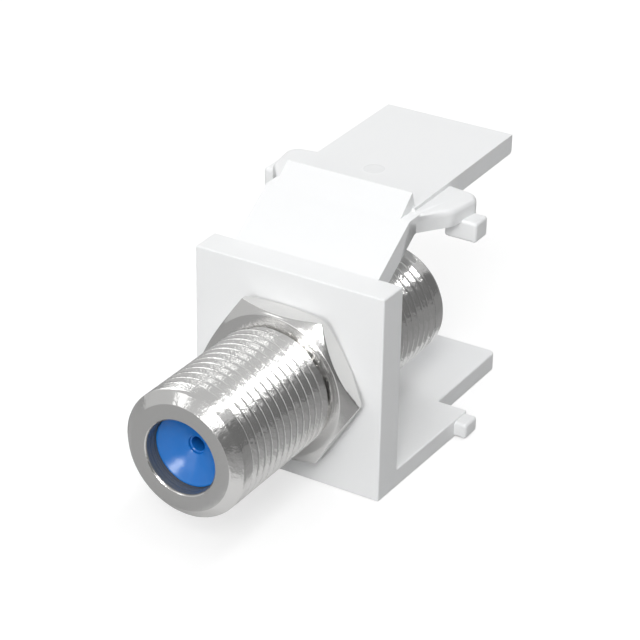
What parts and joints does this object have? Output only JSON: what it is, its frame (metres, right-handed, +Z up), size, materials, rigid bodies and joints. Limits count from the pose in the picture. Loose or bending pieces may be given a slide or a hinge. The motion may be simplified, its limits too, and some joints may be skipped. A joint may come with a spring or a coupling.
{
  "type": "f connector coupler insert",
  "caption": "Threaded coaxial coupler with a hex flange, held in a white snap-in wall-plate insert with a springy latch arm.",
  "frame": {"origin": "on the coupler's axis, in the plane of the moulded plate's front face", "axes": "+Y runs from the front port to the rear port, +Z is up towards the latch, +X is to the right seen from the front"},
  "size_m": [0.0176, 0.0362, 0.0202],
  "materials": {
    "white_moulding": "smooth moulded white plastic, soft gloss",
    "nickel_plate": "turned brass with bright nickel plating",
    "blue_insulator": "smooth blue plastic",
    "contact_metal": "spring bronze"
  },
  "bodies": {
    "housing": {"insert_housing": "white_moulding", "barrel_body": "nickel_plate", "front_insulator": "blue_insulator", "rear_insulator": "blue_insulator", "centre_contact": "contact_metal", "retaining_nut": "nickel_plate"},
    "latch": {"latch_arm": "white_moulding"}
  },
  "joints": [
    {"name": "latch_flex", "type": "hinge", "parent": "housing", "child": "latch", "pos_m": [0, 0.00345, 0.00803], "axis": [-1, 0, 0], "range_deg": [0, 9], "stiffness_Nm_per_rad": 1}
  ]
}
